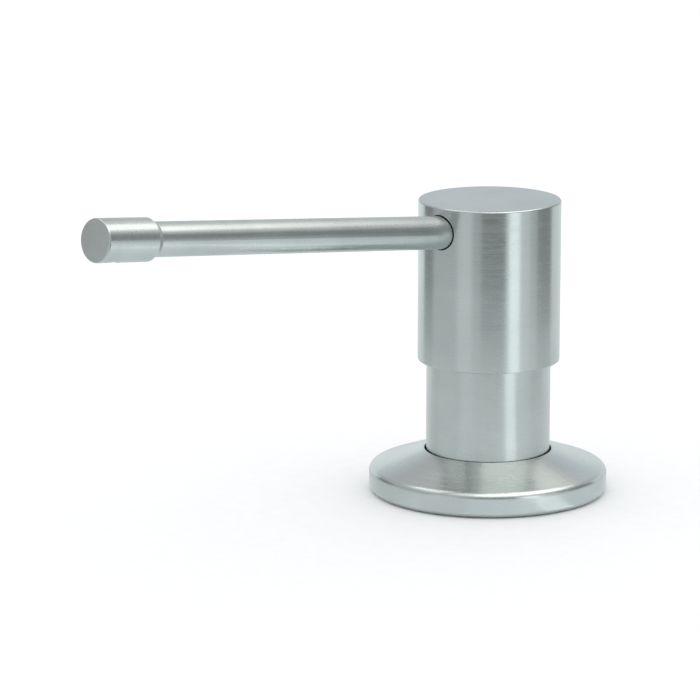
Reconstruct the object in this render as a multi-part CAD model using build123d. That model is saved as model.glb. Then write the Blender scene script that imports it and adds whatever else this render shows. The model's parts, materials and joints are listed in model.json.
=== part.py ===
from build123d import *
import math
import os

# A deck-mounted soap pump: millimetres, +Z up. The origin is on the pump axis in the plane of the
# deck, under the flange. The spout points towards -Y.

# Head: the part that is pressed
HEAD_R = 16.0
HEAD_TOP = 66.7
HEAD_BOTTOM = 30.2
HEAD_BORE_R = 14.3
HEAD_ROOF = 2.0
CORE_BOSS_R = 10.5
CORE_FOOT = 50.0

# Collar and flange, fixed on the deck
COLLAR_R = 14.0
COLLAR_BORE_R = 12.3
COLLAR_FOOT = 4.0
COLLAR_TOP = 40.0
GUIDE_SEAT_R = 13.2
GUIDE_HEIGHT = 4.0
FLANGE_R = 26.9
FLANGE_RIM_TOP = 5.3
FLANGE_TOP = 9.65
FLANGE_MOUTH_R = 14.35
GASKET_R = 24.5
GASKET_BORE_R = 14.0
GASKET_THICK = 1.6

# Spout
SPOUT_HEIGHT = 59.25
SPOUT_TILT = 6.82
SPOUT_R = 3.7
SPOUT_BORE_R = 2.9
LINER_BORE_R = 2.0
SPOUT_START = 5.0
SPOUT_END = 110.1
SPOUT_HOLE_R = 3.95
TIP_R = 4.6
TIP_CHAMBER_R = 3.0
TIP_START = 103.0
TIP_END = 116.6
OUTLET_R = 1.75
SCREW_R = 1.5
SCREW_LENGTH = 5.0
SCREW_TOP = 56.15
SCREW_Y = -8.5

# Pump
STROKE = 15.0
STEM_R = 3.2
STEM_BORE_R = 1.8
STEM_TOP = 56.0
STEM_FOOT = 5.0
BEAD_R = 4.6
BEAD_HEIGHT = 1.4
STEM_SEAL_R = 4.6
STEM_SEAL_LOW = 52.6
STEM_SEAL_HIGH = 54.0
VALVE_LIFT = 1.2
CHAMBER_R = 6.5
CHAMBER_BORE_R = 5.5
CHAMBER_TOP = 28.0
CHAMBER_LEDGE = -22.0
CAP_TOP = 34.0
WIPER_R = 5.0
WIPER_THICK = 1.2
PISTON_LENGTH = 5.0
PLUG_SEAT = 1.8
SPRING_WIRE = 0.8
SPRING_MEAN_R = 3.9
SPRING_COILS = 7
CAGE_THICK = 1.2
BALL_R = 2.5
POCKET_R = 2.9
SEAT_R = 1.6
SEAT_FOOT = -27.2
DIP_R = 3.2
DIP_BORE_R = 2.2
DIP_TOP = -28.5
DIP_FOOT = -217.0

# Below the deck
SHANK_R = 12.5
SHANK_BORE_R = 10.3
SHANK_TOP = 20.0
SHANK_FOOT = -60.0
REGISTER_TOP = 0.5
REGISTER_FOOT = -7.0
THREAD_PITCH = 2.0
THREAD_DEPTH = 0.8
WASHER_TOP = -22.0
RUBBER_THICK = 2.0
STEEL_THICK = 1.2
NUT_LENGTH = 12.0
NUT_HUB_R = 17.0
NUT_FLANGE_R = 19.0
NUT_WING_R = 26.5
BOTTLE_R = 32.0
BOTTLE_WALL = 1.4
BOTTLE_FOOT = -228.0
NECK_R = 15.2
NECK_TOP = -46.0
MOUTH_R = 11.0
SHOULDER_TOP = -63.0
SHOULDER_FOOT = -80.0

# Clearances
RUNNING = 0.07
SLIP = 0.4
SNUG = 0.05

# Worked out from the above
CORE_DISC_FOOT = COLLAR_TOP + STROKE + 0.5
SOCKET_R = STEM_R + RUNNING
SEAL_START = SPOUT_START - 1.0
GUIDE_HIGH = COLLAR_TOP - 1.5
GUIDE_LOW = GUIDE_HIGH - GUIDE_HEIGHT
PUMP_R = COLLAR_BORE_R - SLIP
CHAMBER_FLANGE_FOOT = SHANK_TOP + 0.8
CHAMBER_FLANGE_TOP = CHAMBER_FLANGE_FOOT + 1.2
BEAD_LOW = STEM_FOOT + PISTON_LENGTH + VALVE_LIFT
GUIDE_FOOT = BEAD_LOW + BEAD_HEIGHT
PLUG_FOOT = STEM_FOOT - PLUG_SEAT
CAGE_TOP = CHAMBER_LEDGE + CAGE_THICK
SLIP_WASHER_TOP = WASHER_TOP - RUBBER_THICK
NUT_TOP = SLIP_WASHER_TOP - STEEL_THICK
SEAL_FOOT = SHANK_FOOT - 1.0

SPOUT = Plane(
    origin=(0, 0, SPOUT_HEIGHT),
    x_dir=(1, 0, 0),
    z_dir=(0, -math.cos(math.radians(SPOUT_TILT)), math.sin(math.radians(SPOUT_TILT))),
)


def turned(*corners, rounds=()):
    """A solid turned about Z from corners (radius, height). rounds lists (corner, fillet radius)."""
    outline = make_face(Polyline(*corners, close=True))
    for corner, size in rounds:
        vertex = outline.vertices().sort_by_distance((*corner, 0))[0]
        outline = fillet(vertex, size)
    return revolve(Plane.XZ * outline, Axis.Z)


def ring(outer, inner, low, high):
    """A plain tube or washer about Z."""
    return turned((inner, low), (outer, low), (outer, high), (inner, high))


def rod(radius, low, high):
    """A plain cylinder about Z."""
    return Pos(0, 0, low) * Cylinder(radius, high - low, align=(Align.CENTER, Align.CENTER, Align.MIN))


def round_z(solid, count, start=0.0):
    """count copies of a solid, evenly spaced about Z."""
    return [Rot(0, 0, start + 360 * i / count) * solid for i in range(count)]


# ---- Head: shell, insert, spout ----


def pump_head():
    """The metal cup that is pressed: open below, with a hole for the spout near its top."""
    edge, lip = 0.4, 0.15
    shell = turned(
        (0, HEAD_TOP),
        (HEAD_R, HEAD_TOP),
        (HEAD_R, HEAD_BOTTOM),
        (HEAD_BORE_R, HEAD_BOTTOM),
        (HEAD_BORE_R, HEAD_TOP - HEAD_ROOF),
        (0, HEAD_TOP - HEAD_ROOF),
        rounds=(
            ((HEAD_R, HEAD_TOP), edge),
            ((HEAD_R, HEAD_BOTTOM), lip),
            ((HEAD_BORE_R, HEAD_BOTTOM), lip),
        ),
    )
    return shell - SPOUT * rod(SPOUT_HOLE_R, HEAD_R / 2, HEAD_R * 1.5)


def head_core():
    """The moulded insert that joins the stem's channel to the spout's."""
    body = rod(HEAD_BORE_R - SNUG, CORE_DISC_FOOT, HEAD_TOP - HEAD_ROOF - SNUG)
    body += rod(CORE_BOSS_R, CORE_FOOT, CORE_DISC_FOOT)
    body -= rod(SOCKET_R, CORE_FOOT - 1, STEM_TOP + 0.1)
    body -= rod(STEM_SEAL_R, STEM_SEAL_LOW, STEM_SEAL_HIGH)
    body -= rod(STEM_BORE_R, CORE_FOOT, SPOUT_HEIGHT)
    body -= SPOUT * rod(STEM_BORE_R, 0, SPOUT_START)
    body -= SPOUT * rod(SPOUT_R, SEAL_START, HEAD_R * 1.5)
    body -= Pos(0, SCREW_Y, 0) * rod(SCREW_R, CORE_FOOT - 1, SPOUT_HEIGHT)
    return body


def stem_seal():
    """The O-ring that lets the head turn on the stem without leaking."""
    thick = (STEM_SEAL_R - SOCKET_R) / 2
    return Pos(0, 0, (STEM_SEAL_LOW + STEM_SEAL_HIGH) / 2) * Torus(SOCKET_R + thick, thick)


def spout_tube():
    """The straight metal tube, seated in the insert and rising gently outwards."""
    return SPOUT * turned(
        (SPOUT_BORE_R, SPOUT_START),
        (SPOUT_R, SPOUT_START),
        (SPOUT_R, SPOUT_END),
        (SPOUT_BORE_R, SPOUT_END),
        rounds=(((SPOUT_R, SPOUT_END), 0.2),),
    )


def spout_liner():
    """The plastic tube that carries the soap inside the spout."""
    return SPOUT * ring(SPOUT_BORE_R - SNUG, LINER_BORE_R, SPOUT_START, SPOUT_END)


def spout_seal():
    """The flat seal at the inner end of the spout."""
    return SPOUT * ring(SPOUT_R - SNUG, STEM_BORE_R, SEAL_START, SPOUT_START)


def spout_screw():
    """The grub screw that holds the spout in the insert, driven from below."""
    low = SCREW_TOP - SCREW_LENGTH
    key = extrude(RegularPolygon(0.87, 6), 2.0)
    screw = rod(SCREW_R, low, SCREW_TOP) - Pos(0, 0, low) * key
    return Pos(0, SCREW_Y, 0) * screw


def spout_tip():
    """The closed sleeve on the spout's end, chamfered behind, with its outlet underneath."""
    chamfer, wall, edge = 1.6, 2.0, 0.35
    sleeve = turned(
        (SPOUT_R, TIP_START - chamfer),
        (SPOUT_R + 0.05, TIP_START - chamfer),
        (TIP_R, TIP_START),
        (TIP_R, TIP_END),
        (0, TIP_END),
        (0, TIP_END - wall),
        (TIP_CHAMBER_R, TIP_END - wall),
        (TIP_CHAMBER_R, SPOUT_END),
        (SPOUT_R, SPOUT_END),
        rounds=(((TIP_R, TIP_END), edge),),
    )
    middle = (SPOUT_END + TIP_END - wall) / 2
    outlet = Pos(0, 0, middle) * Rot(90, 0, 0) * rod(OUTLET_R, 0, TIP_R * 2)
    return SPOUT * (sleeve - outlet)


# ---- Base: collar, flange, shank ----


def body_tube():
    """The collar that the head slides down over, with a groove for its guide ring."""
    groove = ring(COLLAR_R + 1, GUIDE_SEAT_R, GUIDE_LOW, GUIDE_HIGH)
    tube = turned(
        (COLLAR_BORE_R, COLLAR_FOOT),
        (COLLAR_R, COLLAR_FOOT),
        (COLLAR_R, COLLAR_TOP),
        (COLLAR_BORE_R, COLLAR_TOP),
        rounds=(((COLLAR_R, COLLAR_TOP), 0.4), ((COLLAR_BORE_R, COLLAR_TOP), 0.3)),
    )
    return tube - groove


def guide_ring():
    """The split plastic ring that the head runs on."""
    slit = Pos(0, COLLAR_R, (GUIDE_LOW + GUIDE_HIGH) / 2) * Box(1.5, 4, 6)
    return ring(HEAD_BORE_R - RUNNING, GUIDE_SEAT_R, GUIDE_LOW, GUIDE_HIGH) - slit


def flange():
    """The cover plate on the deck: an upright rim, a conical top and a recessed mouth."""
    foot_round, gasket_r, lip_r = 1.3, GASKET_R + 0.1, SHANK_R + 0.3
    return turned(
        (gasket_r, 0),
        (FLANGE_R, 0),
        (FLANGE_R, FLANGE_RIM_TOP),
        (FLANGE_MOUTH_R, FLANGE_TOP),
        (FLANGE_MOUTH_R, COLLAR_FOOT),
        (lip_r, COLLAR_FOOT),
        (lip_r, GASKET_THICK),
        (gasket_r, GASKET_THICK),
        rounds=(
            ((FLANGE_R, 0), foot_round),
            ((FLANGE_R, FLANGE_RIM_TOP), 1.5),
            ((FLANGE_MOUTH_R, FLANGE_TOP), 0.2),
        ),
    )


def base_gasket():
    """The rubber ring in the flange's underside, with a groove that lets it squash."""
    middle = (GASKET_R + GASKET_BORE_R) / 2
    groove = ring(middle + 0.7, middle - 0.7, -1, 0.6)
    return ring(GASKET_R, GASKET_BORE_R, 0, GASKET_THICK) - groove


def shank():
    """The threaded tube through the deck. Its thread is drawn as rings."""
    root_r = SHANK_R - THREAD_DEPTH
    rings = int((REGISTER_FOOT - SHANK_FOOT) / THREAD_PITCH)
    outline = [(COLLAR_BORE_R, SHANK_TOP), (COLLAR_BORE_R, REGISTER_TOP)]
    outline += [(SHANK_R, REGISTER_TOP), (SHANK_R, REGISTER_FOOT)]
    for i in range(rings):
        crest = REGISTER_FOOT - THREAD_PITCH * (i + 1)
        outline += [(root_r, crest + THREAD_PITCH / 2), (SHANK_R, crest)]
    outline += [(root_r, SHANK_FOOT), (SHANK_BORE_R, SHANK_FOOT), (SHANK_BORE_R, SHANK_TOP)]
    return turned(*outline)


# ---- Pump: lifts out of the shank as one module ----


def pump_chamber():
    """The cylinder: a flange that hangs on the shank, a valve seat and a socket for the dip tube."""
    socket_r, neck_low, socket_foot = 4.6, -26.0, -38.0
    body = turned(
        (CHAMBER_BORE_R, CHAMBER_TOP),
        (CHAMBER_R, CHAMBER_TOP),
        (CHAMBER_R, CHAMBER_FLANGE_TOP),
        (PUMP_R, CHAMBER_FLANGE_TOP),
        (PUMP_R, CHAMBER_FLANGE_FOOT),
        (CHAMBER_R, CHAMBER_FLANGE_FOOT),
        (CHAMBER_R, CHAMBER_LEDGE - 1),
        (socket_r, neck_low),
        (socket_r, socket_foot),
        (DIP_R, socket_foot),
        (DIP_R, DIP_TOP),
        (SEAT_R, DIP_TOP),
        (SEAT_R, SEAT_FOOT),
        (POCKET_R, SEAT_FOOT + POCKET_R - SEAT_R),
        (POCKET_R, CHAMBER_LEDGE),
        (CHAMBER_BORE_R, CHAMBER_LEDGE),
    )
    vent = Pos(0, 0, 17) * Rot(0, 90, 0) * rod(0.6, 0, CHAMBER_R + 1)
    return body - vent


def chamber_gasket():
    """The soft ring between the chamber's flange and the shank's rim."""
    return ring(PUMP_R, SHANK_BORE_R + 0.2, SHANK_TOP, CHAMBER_FLANGE_FOOT)


def pump_collar():
    """The cap of the pump: it grips the chamber's top and guides the stem."""
    grip_r, grip_bore_r, skirt_r = 8.0, CHAMBER_R + SNUG, CHAMBER_BORE_R - SNUG
    roof, flutes = CAP_TOP - 2.0, 24
    cap = turned(
        (SOCKET_R, GUIDE_FOOT),
        (skirt_r, GUIDE_FOOT),
        (skirt_r, roof - 1),
        (grip_bore_r, roof - 1),
        (grip_bore_r, CHAMBER_FLANGE_TOP + 2),
        (grip_r, CHAMBER_FLANGE_TOP + 2),
        (grip_r, roof),
        (PUMP_R - 1.5, roof),
        (PUMP_R - 1.5, CHAMBER_FLANGE_TOP),
        (PUMP_R, CHAMBER_FLANGE_TOP),
        (PUMP_R, CAP_TOP),
        (WIPER_R, CAP_TOP),
        (WIPER_R, CAP_TOP - WIPER_THICK),
        (SOCKET_R, CAP_TOP - WIPER_THICK),
        rounds=(((PUMP_R, CAP_TOP), 0.6),),
    )
    flute = Pos(PUMP_R, 0, (CHAMBER_FLANGE_TOP + CAP_TOP) / 2) * Box(0.7, 0.9, 9)
    return cap - round_z(flute, flutes)


def stem_wiper():
    """The soft ring in the cap that wipes the stem."""
    return ring(WIPER_R, SOCKET_R, CAP_TOP - WIPER_THICK, CAP_TOP)


def piston_stem():
    """The hollow stem: a bead that drives the piston, and four ports at its foot."""
    stem = turned(
        (STEM_BORE_R, STEM_FOOT),
        (STEM_R, STEM_FOOT),
        (STEM_R, BEAD_LOW),
        (BEAD_R, BEAD_LOW),
        (BEAD_R, GUIDE_FOOT - SNUG),
        (STEM_R, GUIDE_FOOT - SNUG),
        (STEM_R, STEM_TOP),
        (STEM_BORE_R, STEM_TOP),
        rounds=(((STEM_R, STEM_TOP), 0.5),),
    )
    port = Pos(STEM_R, 0, STEM_FOOT) * Box(2 * STEM_R, 1.0, 2.0)
    return stem - round_z(port, 4)


def stem_plug():
    """The foot of the stem: a seat for the piston and the spring, with a fluted shaft."""
    seat_r, pilot_r, shaft_top = 4.4, 2.9, STEM_FOOT + 4
    plug = rod(seat_r, PLUG_FOOT, STEM_FOOT) + rod(pilot_r, PLUG_FOOT - 1.7, PLUG_FOOT)
    flute = Pos(STEM_BORE_R, 0, (STEM_FOOT + shaft_top) / 2) * Box(1.6, 1.4, 4)
    shaft = rod(STEM_BORE_R, STEM_FOOT, shaft_top)
    return plug + (shaft - round_z(flute, 4))


def piston():
    """The piston slides a little on the stem and opens its ports on the way down."""
    low, high, waist, lip = STEM_FOOT, STEM_FOOT + PISTON_LENGTH, 4.6, 1.2
    edge = CHAMBER_BORE_R - RUNNING
    return turned(
        (STEM_R + RUNNING, low),
        (waist, low),
        (edge, low + 0.2),
        (edge, low + lip),
        (waist, low + lip + 0.6),
        (waist, high - lip - 0.6),
        (edge, high - lip),
        (edge, high - 0.2),
        (waist, high),
        (STEM_R + RUNNING, high),
    )


def return_spring():
    """The coil spring between the valve cage and the foot of the stem."""
    low = CAGE_TOP + SPRING_WIRE / 2 + SNUG
    rise = PLUG_FOOT - SPRING_WIRE / 2 - SNUG - low
    path = Pos(0, 0, low) * Helix(rise / SPRING_COILS, rise, SPRING_MEAN_R)
    section = Plane(origin=path @ 0, z_dir=path % 0) * Circle(SPRING_WIRE / 2)
    return sweep(section, path, is_frenet=True)


def ball_cage():
    """The slotted disc that keeps the ball down and centres the spring."""
    hole_r, stub_r, stub_top = 2.0, 3.0, CAGE_TOP + 2.8
    cage = turned(
        (hole_r, CHAMBER_LEDGE),
        (CHAMBER_BORE_R - SNUG, CHAMBER_LEDGE),
        (CHAMBER_BORE_R - SNUG, CAGE_TOP),
        (stub_r, CAGE_TOP),
        (stub_r, stub_top),
        (hole_r, stub_top),
    )
    slot = Pos(0, 0, CAGE_TOP + 1.6) * Box(1.2, 2 * stub_r + 1, 1.4)
    return cage - slot


def inlet_ball():
    """The steel ball of the inlet valve, resting on its conical seat."""
    seated = SEAT_FOOT - SEAT_R + BALL_R * math.sqrt(2) + 0.03
    return Pos(0, 0, seated) * Sphere(BALL_R)


def dip_tube():
    """The suction tube to the bottom of the bottle, cut at a slant."""
    tube = ring(DIP_R, DIP_BORE_R, DIP_FOOT, DIP_TOP)
    below = (Align.CENTER, Align.CENTER, Align.MAX)
    cut = Pos(0, 0, DIP_FOOT) * Rot(0, 40, 0) * Box(20, 20, 6, align=below)
    return tube - cut


# ---- Under the deck: washers, nut, bottle ----


def deck_washer():
    """The rubber washer against the underside of the deck."""
    return ring(21.0, SHANK_R + 0.4, SLIP_WASHER_TOP, WASHER_TOP)


def slip_washer():
    """The steel washer that lets the nut turn without dragging the rubber."""
    return ring(20.0, SHANK_R + 0.3, NUT_TOP, SLIP_WASHER_TOP)


def mounting_nut():
    """The moulded nut, turned by hand on its four wings."""
    foot, brim = NUT_TOP - NUT_LENGTH, NUT_TOP - 2.5
    hub = turned(
        (SHANK_R + 0.1, NUT_TOP),
        (NUT_FLANGE_R, NUT_TOP),
        (NUT_FLANGE_R, brim),
        (NUT_HUB_R, brim),
        (NUT_HUB_R, foot),
        (SHANK_R + 0.1, foot),
        rounds=(((NUT_HUB_R, foot), 0.8),),
    )
    root, thick, height = NUT_HUB_R - 1.5, 4.0, NUT_LENGTH - 1.5
    hanging = (Align.MIN, Align.CENTER, Align.MAX)
    wing = Box(NUT_WING_R - root, thick, height, align=hanging)
    wing = fillet(wing.edges().filter_by(Axis.Z).group_by(Axis.X)[-1], 1.9)
    wing = fillet(wing.faces().sort_by(Axis.Z)[0].edges(), 0.5)
    return hub + round_z(Pos(root, 0, NUT_TOP) * wing, 4, 45)


def neck_seal():
    """The soft ring between the shank's end and the bottle's inner shoulder."""
    return ring(SHANK_R - 0.3, MOUTH_R, SEAL_FOOT, SHANK_FOOT)


def bottle_outline(wall):
    """The line down the bottle's side, moved in by a wall: shoulder, side, foot and push-up."""
    side, foot, curve, bend_r = BOTTLE_R - wall, BOTTLE_FOOT + wall, 8.0 - wall, 12
    neck = NECK_R if wall == 0 else MOUTH_R
    bend = CenterArc((side - bend_r, SHOULDER_FOOT - 2), bend_r, 0, 60)
    slope = Line((neck, SHOULDER_TOP - wall), bend @ 1)
    upright = Line(bend @ 0, (side, foot + curve))
    corner = CenterArc((side - curve, foot + curve), curve, 0, -90)
    push_up, rim = foot + 1.5, side - curve - 6
    floor = Polyline(corner @ 1, (rim, foot), (rim - 3, push_up), (0, push_up))
    return [slope, bend, upright, corner, floor]


def bottle():
    """The blow-moulded bottle that screws on the shank's lower end, with ribs to grip its neck."""
    outer, inner = bottle_outline(0), bottle_outline(BOTTLE_WALL)
    bore_r = SHANK_R + 0.15
    mouth = Polyline(
        inner[0] @ 0,
        (MOUTH_R, SEAL_FOOT),
        (bore_r, SEAL_FOOT),
        (bore_r, NECK_TOP),
        (NECK_R, NECK_TOP),
        outer[0] @ 0,
    )
    axis = Line(outer[-1] @ 1, inner[-1] @ 1)
    section = make_face(Curve() + outer + inner + mouth + axis)
    rib = Pos(NECK_R, 0, NECK_TOP - 6.5) * Box(1.4, 1.2, 10)
    return revolve(Plane.XZ * section, Axis.Z) + round_z(rib, 20)


NODES = (
    pump_head,
    head_core,
    stem_seal,
    spout_tube,
    spout_liner,
    spout_seal,
    spout_screw,
    spout_tip,
    body_tube,
    guide_ring,
    flange,
    base_gasket,
    shank,
    pump_chamber,
    chamber_gasket,
    pump_collar,
    stem_wiper,
    piston_stem,
    stem_plug,
    piston,
    return_spring,
    ball_cage,
    inlet_ball,
    dip_tube,
    deck_washer,
    slip_washer,
    mounting_nut,
    neck_seal,
    bottle,
)

os.makedirs("parts", exist_ok=True)
for make in NODES:
    export_step(make(), f"parts/{make.__name__}.step")
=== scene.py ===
import json
import math

import bpy
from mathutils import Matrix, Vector


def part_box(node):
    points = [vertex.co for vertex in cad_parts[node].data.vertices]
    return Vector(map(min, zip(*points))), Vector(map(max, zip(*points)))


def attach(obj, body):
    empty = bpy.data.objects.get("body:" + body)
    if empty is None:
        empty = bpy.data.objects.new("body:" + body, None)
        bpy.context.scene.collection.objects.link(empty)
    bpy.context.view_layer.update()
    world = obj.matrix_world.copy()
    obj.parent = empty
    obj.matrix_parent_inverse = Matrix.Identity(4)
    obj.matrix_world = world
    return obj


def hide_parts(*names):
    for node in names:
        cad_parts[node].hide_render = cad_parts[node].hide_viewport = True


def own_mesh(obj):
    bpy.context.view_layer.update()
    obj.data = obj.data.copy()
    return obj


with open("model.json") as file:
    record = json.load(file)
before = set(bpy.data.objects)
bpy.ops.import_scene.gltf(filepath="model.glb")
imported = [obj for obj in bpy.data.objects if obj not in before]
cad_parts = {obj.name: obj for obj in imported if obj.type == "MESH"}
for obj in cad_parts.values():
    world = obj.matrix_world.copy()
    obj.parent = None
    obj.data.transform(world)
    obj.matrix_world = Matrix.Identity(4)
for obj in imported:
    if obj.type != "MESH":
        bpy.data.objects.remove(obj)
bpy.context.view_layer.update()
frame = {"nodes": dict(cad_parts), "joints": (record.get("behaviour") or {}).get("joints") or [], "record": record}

nodes = frame["nodes"]
flange_low, flange_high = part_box("flange")
shank_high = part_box("shank")[1]


# ---- Shader maths ----


class Wire:
    """A node socket that can be written in sums, or a number in the same place."""

    def __init__(self, paint, socket):
        self.paint = paint
        self.socket = socket

    def maths(self, operation, first, second):
        return self.paint.node("ShaderNodeMath", {"operation": operation}, {0: first, 1: second})

    def __add__(self, other):
        return self.maths("ADD", self, other)

    def __radd__(self, other):
        return self.maths("ADD", other, self)

    def __mul__(self, other):
        return self.maths("MULTIPLY", self, other)

    def __rmul__(self, other):
        return self.maths("MULTIPLY", other, self)


# The colour sockets of a Mix node, by place
COLOUR_A, COLOUR_B, COLOUR_RESULT = 6, 7, 2


class Paint:
    """One material, or the world, and the nodes that make it."""

    def __init__(self, owner):
        owner.use_nodes = True
        self.owner = owner
        self.tree = owner.node_tree
        self.tree.nodes.clear()

    def node(self, kind, settings=None, inputs=None, output=0):
        """Adds a node: its settings first, then its sockets' values or links."""
        made = self.tree.nodes.new(kind)
        for name, value in (settings or {}).items():
            setattr(made, name, value)
        for name, value in (inputs or {}).items():
            if isinstance(value, Wire):
                self.tree.links.new(value.socket, made.inputs[name])
            else:
                made.inputs[name].default_value = value
        return Wire(self, made.outputs[output]) if made.outputs else None

    def place(self):
        """The point in the object's own frame, in metres."""
        return self.node("ShaderNodeTexCoord", output="Object")

    def facing_up(self):
        """How far the surface faces up, from -1 to 1."""
        normal = self.node("ShaderNodeTexCoord", output="Normal")
        return self.node("ShaderNodeSeparateXYZ", inputs={0: normal}, output="Z")

    def stretched(self, vector, factors):
        return self.node("ShaderNodeVectorMath", {"operation": "MULTIPLY"}, {0: vector, 1: factors})

    def noise(self, vector, scale=1.0, detail=3.0, rough=0.5):
        """Smooth noise from 0 to 1, with its scale in cells a metre."""
        inputs = {"Vector": vector, "Scale": scale, "Detail": detail, "Roughness": rough}
        return self.node("ShaderNodeTexNoise", {"noise_dimensions": "3D"}, inputs)

    def spread(self, value, low, high, to_low, to_high):
        """Maps low..high to to_low..to_high, held at both ends."""
        inputs = {"Value": value, 1: low, 2: high, 3: to_low, 4: to_high}
        return self.node("ShaderNodeMapRange", {"clamp": True}, inputs)

    def mix(self, factor, first, second):
        """Two colours, from all first at 0 to all second at 1."""
        inputs = {"Factor": factor, COLOUR_A: first, COLOUR_B: second}
        return self.node("ShaderNodeMix", {"data_type": "RGBA"}, inputs, output=COLOUR_RESULT)

    def blend(self, factor, first, second):
        """Two shaders, from all first at 0 to all second at 1."""
        return self.node("ShaderNodeMixShader", inputs={0: factor, 1: first, 2: second})

    def bump(self, height, distance, strength=1.0):
        inputs = {"Height": height, "Distance": distance, "Strength": strength}
        return self.node("ShaderNodeBump", inputs=inputs)

    def finish(self, shader):
        self.node("ShaderNodeOutputMaterial", inputs={"Surface": shader})
        return self.owner

    def principled(self, **values):
        inputs = {name.replace("_", " "): value for name, value in values.items()}
        return self.node("ShaderNodeBsdfPrincipled", inputs=inputs)


def grey(value):
    return (value, value, value, 1)


def darker(colour, factor):
    return tuple(part * factor for part in colour[:3]) + (1,)


STEEL = (0.56, 0.6, 0.595, 1)
SIDE_ROUGH = 0.25
SPOUT_ROUGH = 0.26
BRUSH_DEPTH = 0.000003
WIRE_DEPTH = 0.000004
SATIN_DEPTH = 0.000003
WAVE_DEPTH = 0.00004


# ---- Finishes ----


def turned_steel(name):
    """Stainless steel brushed round its upright axis, with an evenly satin finish on level faces."""
    paint = Paint(bpy.data.materials.new(name))
    place = paint.place()
    lines = paint.noise(paint.stretched(place, (24.0, 24.0, 5200.0)), detail=4.0, rough=0.6)
    cloud = paint.noise(place, scale=70.0, detail=2.0)
    wear = paint.noise(paint.stretched(place, (300.0, 300.0, 900.0)), detail=3.0)
    patches = paint.spread(cloud * 0.7 + lines * 0.3, 0.35, 0.65, 0.0, 1.0)
    colour = paint.mix(patches, darker(STEEL, 0.9), STEEL)
    streaks = lines * 0.6 + wear * 0.4
    roughness = paint.spread(streaks, 0.3, 0.7, SIDE_ROUGH - 0.04, SIDE_ROUGH + 0.05)
    side = paint.principled(
        Base_Color=colour,
        Metallic=1.0,
        Roughness=roughness,
        Anisotropic=0.6,
        Anisotropic_Rotation=0.25,
        Normal=paint.bump(lines, BRUSH_DEPTH),
    )
    satin = paint.noise(paint.stretched(place, (2600.0, 90.0, 90.0)), detail=4.0, rough=0.6)
    level = paint.principled(
        Base_Color=colour,
        Metallic=1.0,
        Roughness=paint.spread(satin, 0.3, 0.7, SIDE_ROUGH + 0.02, SIDE_ROUGH + 0.12),
        Normal=paint.bump(satin, SATIN_DEPTH),
    )
    upward = paint.spread(paint.facing_up(), 0.96, 0.99, 0.0, 1.0)
    return paint.finish(paint.blend(upward, side, level))


def drawn_steel(name, tilt, grain, depth):
    """Brushed steel of a sloping tube. The grain is its lines a metre across, along and up it."""
    paint = Paint(bpy.data.materials.new(name))
    place = paint.place()
    turn = {"rotation_type": "X_AXIS"}
    level = paint.node("ShaderNodeVectorRotate", turn, {"Vector": place, "Angle": tilt})
    lines = paint.noise(paint.stretched(level, grain), detail=4.0, rough=0.6)
    cloud = paint.noise(place, scale=90.0, detail=2.0)
    patches = paint.spread(cloud, 0.35, 0.65, 0.0, 1.0)
    colour = paint.mix(patches, darker(STEEL, 0.9), STEEL)
    roughness = paint.spread(lines, 0.3, 0.7, SPOUT_ROUGH - 0.03, SPOUT_ROUGH + 0.05)
    shader = paint.principled(
        Base_Color=colour, Metallic=1.0, Roughness=roughness, Normal=paint.bump(lines, depth)
    )
    return paint.finish(shader)


def moulded(name, colour, rough, grain, subsurface=0.0, height=0.00002):
    """Moulded plastic or rubber with a fine grain and slightly uneven gloss."""
    paint = Paint(bpy.data.materials.new(name))
    place = paint.place()
    fine = paint.noise(place, scale=grain, detail=4.0, rough=0.6)
    cloud = paint.noise(place, scale=60.0, detail=2.0)
    tint = paint.mix(paint.spread(cloud, 0.3, 0.7, 0.0, 1.0), darker(colour, 0.86), colour)
    shader = paint.principled(
        Base_Color=tint,
        Roughness=paint.spread(fine, 0.3, 0.7, rough - 0.05, rough + 0.08),
        Subsurface_Weight=subsurface,
        Subsurface_Scale=0.002,
        Normal=paint.bump(fine, height),
    )
    return paint.finish(shader)


def bright_wire(name, colour=(0.68, 0.69, 0.70, 1), rough=0.15):
    """Polished spring and ball steel with faint drawing marks."""
    paint = Paint(bpy.data.materials.new(name))
    place = paint.place()
    marks = paint.noise(place, scale=1800.0, detail=3.0)
    stain = paint.noise(place, scale=200.0, detail=2.0)
    shader = paint.principled(
        Base_Color=paint.mix(paint.spread(stain, 0.3, 0.7, 0.0, 1.0), darker(colour, 0.8), colour),
        Metallic=1.0,
        Roughness=paint.spread(marks, 0.3, 0.7, rough - 0.04, rough + 0.08),
        Normal=paint.bump(marks, WIRE_DEPTH),
    )
    return paint.finish(shader)


def blown_plastic(name, colour, clear, rough):
    """Translucent blow-moulded polyethylene, faintly cloudy and slightly wavy."""
    paint = Paint(bpy.data.materials.new(name))
    place = paint.place()
    waves = paint.noise(place, scale=45.0, detail=2.0)
    grain = paint.noise(place, scale=1500.0, detail=3.0)
    shader = paint.principled(
        Base_Color=paint.mix(paint.spread(waves, 0.3, 0.7, 0.0, 1.0), darker(colour, 0.97), colour),
        Roughness=paint.spread(grain, 0.3, 0.7, rough - 0.05, rough + 0.05),
        Alpha=paint.spread(waves, 0.3, 0.7, clear - 0.01, clear + 0.01),
        Subsurface_Weight=0.3,
        Subsurface_Scale=0.004,
        Normal=paint.bump(waves * 0.8 + grain * 0.2, WAVE_DEPTH),
    )
    return paint.finish(shader)


SPOUT_TILT = math.radians(6.82)

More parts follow.
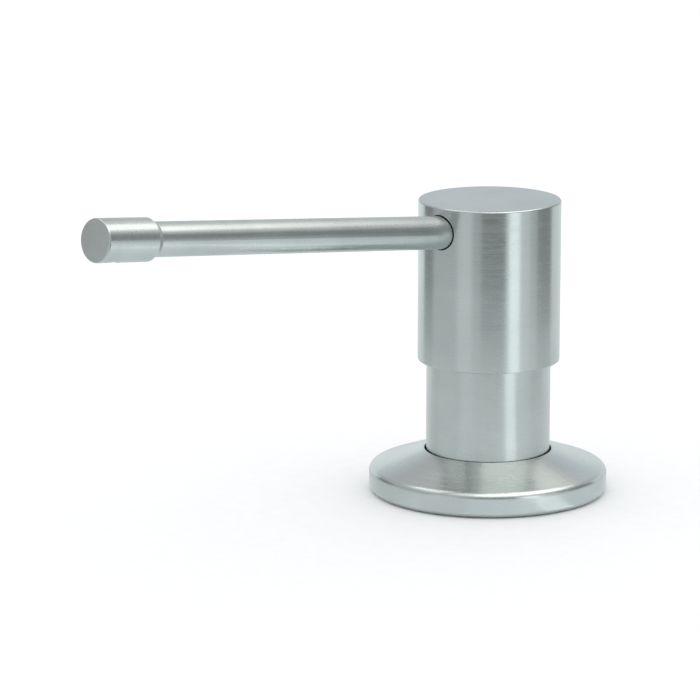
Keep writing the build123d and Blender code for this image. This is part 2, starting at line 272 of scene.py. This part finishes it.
FINISHES = {
    "steel": turned_steel("brushed_steel"),
    "hard_steel": bright_wire("spring_steel"),
    "zinc_steel": bright_wire("zinc_plate", (0.62, 0.62, 0.58, 1), 0.34),
    "rubber": moulded("black_rubber", (0.028, 0.028, 0.03, 1), 0.6, 2500.0),
    "white_plastic": moulded("white_acetal", (0.84, 0.84, 0.81, 1), 0.38, 1800.0, 0.15),
    "soft_plastic": moulded("soft_polyethylene", (0.78, 0.8, 0.82, 1), 0.42, 1800.0, 0.3),
    "tube_plastic": blown_plastic("clear_tube", (0.84, 0.87, 0.88, 1), 0.55, 0.25),
    "dark_plastic": moulded("black_plastic", (0.035, 0.035, 0.038, 1), 0.42, 1600.0, 0.0, 0.00004),
    "bottle_plastic": blown_plastic("natural_polyethylene", (0.86, 0.88, 0.87, 1), 0.72, 0.35),
}
LENGTHWISE = (2600.0, 60.0, 2600.0)
ROUND = (60.0, 2600.0, 60.0)
SPOUT_FINISHES = {
    "spout_tube": drawn_steel("spout_steel", SPOUT_TILT, LENGTHWISE, 0.000004),
    "spout_tip": drawn_steel("tip_steel", SPOUT_TILT, ROUND, 0.0000005),
}


def dress(node, finish):
    """Gives a CAD node one finish."""
    mesh = nodes[node].data
    mesh.materials.clear()
    mesh.materials.append(finish)


for row in frame["record"]["subparts"]:
    dress(row["node"], FINISHES[row["material_slot"]])
for node, finish in SPOUT_FINISHES.items():
    dress(node, finish)


# ---- Return spring ----


def spring_mesh(name, low, high, wire, coil_r, turns, closed):
    """A compression spring: a helix whose end coils lie closed against each other."""
    around, per_turn = 10, 32
    dead = 2 * closed * wire
    points, faces = [], []
    count = int(per_turn * (turns + 2 * closed))
    height = low + wire / 2
    lead = (high - low - wire - dead) / turns
    for i in range(count + 1):
        turn = i / per_turn
        angle = 2 * math.pi * turn
        out = Vector((math.cos(angle), math.sin(angle), 0))
        for j in range(around):
            side = 2 * math.pi * j / around
            ring = out * (coil_r + wire / 2 * math.cos(side))
            points.append((ring.x, ring.y, height + wire / 2 * math.sin(side)))
        dead_coil = turn < closed or turn >= turns + closed
        height += (wire if dead_coil else lead) / per_turn
    for i in range(count):
        for j in range(around):
            here, above = i * around + j, i * around + (j + 1) % around
            faces.append((here, here + around, above + around, above))
    faces.append(tuple(range(around)))
    faces.append(tuple(count * around + j for j in reversed(range(around))))
    mesh = bpy.data.meshes.new(name)
    mesh.from_pydata(points, [], faces)
    for face in mesh.polygons:
        face.use_smooth = len(face.vertices) == 4
    mesh.materials.append(FINISHES["hard_steel"])
    made = bpy.data.objects.new(name, mesh)
    bpy.context.scene.collection.objects.link(made)
    return made


SPRING_WIRE = 0.0008
SPRING_TURNS = 7
SPRING_CLOSED = 1.25
spring_low, spring_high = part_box("return_spring")
spring_r = spring_high.x - SPRING_WIRE / 2
spring = spring_mesh(
    "wound_spring",
    spring_low.z,
    spring_high.z,
    SPRING_WIRE,
    spring_r,
    SPRING_TURNS,
    SPRING_CLOSED,
)
stroke = next(-joint["range_m"][0] for joint in frame["joints"] if joint["name"] == "pump_press")
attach(spring, "pump")
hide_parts("return_spring")
spring_length = spring_high.z - spring_low.z
(spring_length - stroke) / spring_length
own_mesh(spring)


# ---- Camera ----

CAMERA_REACH = 0.8362
CAMERA_HEIGHT = 0.2216
CAMERA_BEARING = math.radians(-46.5)
CAMERA_TURN = math.radians(2.14)
CAMERA_PITCH = math.radians(12.78)

camera_data = bpy.data.cameras.new("camera")
camera_data.lens = 195.5
camera_data.sensor_width = 36
camera_data.clip_start = 0.05
camera = bpy.data.objects.new("camera", camera_data)
bpy.context.scene.collection.objects.link(camera)
camera.location = (
    CAMERA_REACH * math.cos(CAMERA_BEARING),
    CAMERA_REACH * math.sin(CAMERA_BEARING),
    CAMERA_HEIGHT,
)
camera.rotation_euler = (math.pi / 2 - CAMERA_PITCH, 0, CAMERA_BEARING + math.pi / 2 + CAMERA_TURN)
bpy.context.scene.camera = camera


# ---- Floor and light ----


def stand(name, points, faces, material):
    """A sheet of the studio, which isn't part of the pump."""
    mesh = bpy.data.meshes.new(name)
    mesh.from_pydata(points, [], faces)
    mesh.materials.append(material)
    made = bpy.data.objects.new(name, mesh)
    bpy.context.scene.collection.objects.link(made)
    return made


def floor_material():
    """A plain, pale, matt floor."""
    paint = Paint(bpy.data.materials.new("pale_floor"))
    speck = paint.noise(paint.place(), scale=300.0, detail=2.0)
    tint = paint.mix(paint.spread(speck, 0.3, 0.7, 0.0, 1.0), grey(0.9), grey(0.92))
    return paint.finish(paint.principled(Base_Color=tint, Roughness=0.9, Specular_IOR_Level=0.1))


def floor(half, hole, level):
    """A square floor with a round hole for the shank."""
    count = 64
    points, faces = [], []
    for i in range(count):
        angle = 2 * math.pi * (i + 0.5) / count
        reach = half / max(abs(math.cos(angle)), abs(math.sin(angle)))
        for radius in (hole, reach):
            points.append((radius * math.cos(angle), radius * math.sin(angle), level))
        j = (i + 1) % count
        faces.append((2 * i, 2 * i + 1, 2 * j + 1, 2 * j))
    return stand("floor", points, faces, floor_material())


def glow(name, tone, tint):
    """An even glow: the tone of one screen."""
    paint = Paint(bpy.data.materials.new(name))
    colour = tuple(tint) + (1,)
    return paint.finish(paint.node("ShaderNodeEmission", inputs={"Color": colour, "Strength": tone}))


def screen(name, start, end, outline, tone, tint):
    """A curved screen round the pump that only reflections see.

    It runs from one bearing to another, in degrees to the right of the camera as seen from the
    pump, and its outline is a row of (distance from the pump's axis, height) points."""
    steps = max(2, round((end - start) / 5))
    points, faces = [], []
    for i in range(steps + 1):
        bearing = CAMERA_BEARING + math.radians(start + (end - start) * i / steps)
        for distance, height in outline:
            points.append((distance * math.cos(bearing), distance * math.sin(bearing), height))
    row = len(outline)
    for i in range(steps):
        for j in range(row - 1):
            corner = i * row + j
            faces.append((corner, corner + 1, corner + row + 1, corner + row))
    made = stand(name, points, faces, glow(name, tone, tint))
    made.visible_camera = False
    made.visible_diffuse = False
    made.visible_transmission = False
    made.visible_shadow = False


COOL = (0.93, 1.0, 1.0)
BLUE = (0.92, 0.99, 1.04)
WARM = (1.0, 1.0, 0.95)

# Low screens in a ring on the floor: from bearing, to bearing, tone of the upright part, tone of
# the part that lies on the floor
RING = (
    (-180, -124, 1.0, 0.85),
    (-124, -98, 0.3, 0.8),
    (-98, -50, 0.58, 0.82),
    (-50, -26, 0.8, 0.88),
    (-26, -12, 0.5, 0.88),
    (-12, 25, 0.18, 0.95),
    (25, 30, 0.7, 0.95),
    (30, 48, 1.6, 1.3),
    (48, 66, 0.85, 0.9),
    (66, 80, 0.6, 0.9),
    (80, 114, 0.3, 0.85),
    (114, 180, 0.9, 0.85),
)
RING_NEAR = flange_high.x + 0.0005
MAT_HEIGHT = 0.0003
RING_R = 0.16
RING_STEP = 0.014
RING_HEIGHT = 0.065
for number, (start, end, upright, lying) in enumerate(RING):
    mat = [(RING_NEAR, MAT_HEIGHT), (RING_R, MAT_HEIGHT)]
    foot = [(RING_R, MAT_HEIGHT), (RING_R, RING_STEP)]
    wall = [(RING_R, RING_STEP), (RING_R, RING_HEIGHT)]
    screen(f"mat_{number}", start, end, mat, lying, COOL)
    screen(f"foot_{number}", start, end, foot, (lying + upright) / 2, COOL)
    screen(f"wall_{number}", start, end, wall, upright, COOL)

# Screens further off: name, from bearing, to bearing, outline, tone, tint
FAR = 0.6
CEILING = 0.45
FAR_SCREENS = (
    ("back_low", 148, 212, ((FAR, 0.02), (FAR, 0.34)), 0.78, BLUE),
    ("right_dark", 70, 118, ((FAR, 0.0), (FAR, 0.36)), 0.3, COOL),
    ("left_dark", -112, -84, ((FAR, 0.0), (FAR, 0.14)), 0.4, WARM),
    ("overhead_right", -16, 142, ((0.05, CEILING), (0.33, CEILING)), 2.3, WARM),
    ("overhead_left", -120, -16, ((0.05, CEILING), (0.38, CEILING)), 1.3, WARM),
    ("overhead_strip", -140, -120, ((0.15, CEILING), (0.34, CEILING)), 2.2, WARM),
    ("overhead_outer_right", -16, 118, ((0.33, CEILING), (0.44, CEILING)), 2.3, WARM),
    ("overhead_outer_left", -120, -16, ((0.38, CEILING), (0.44, CEILING)), 1.3, WARM),
    ("overhead_edge", 118, 157, ((0.33, CEILING), (0.46, 0.44)), 1.35, WARM),
    ("behind_right", 157, 176, ((0.28, CEILING), (0.55, 0.4)), 0.9, WARM),
)
for name, start, end, outline, tone, tint in FAR_SCREENS:
    screen(name, start, end, outline, tone, tint)


def room():
    """An even pale room, duller in reflections than on matt surfaces."""
    world = bpy.data.worlds.new("studio")
    bpy.context.scene.world = world
    paint = Paint(world)
    mirrored = paint.node("ShaderNodeLightPath", output="Is Glossy Ray")
    strength = paint.spread(mirrored, 0.0, 1.0, 1.15, 0.64)
    colour = (0.98, 0.99, 1.0, 1)
    back = paint.node("ShaderNodeBackground", inputs={"Color": colour, "Strength": strength})
    paint.node("ShaderNodeOutputWorld", inputs={"Surface": back})


FLOOR_HALF = 0.78
SHANK_GAP = 0.002
FLOOR_GAP = 0.0002
floor(FLOOR_HALF, shank_high.x + SHANK_GAP, flange_low.z - FLOOR_GAP)
room()
bpy.context.scene.view_settings.view_transform = "Standard"
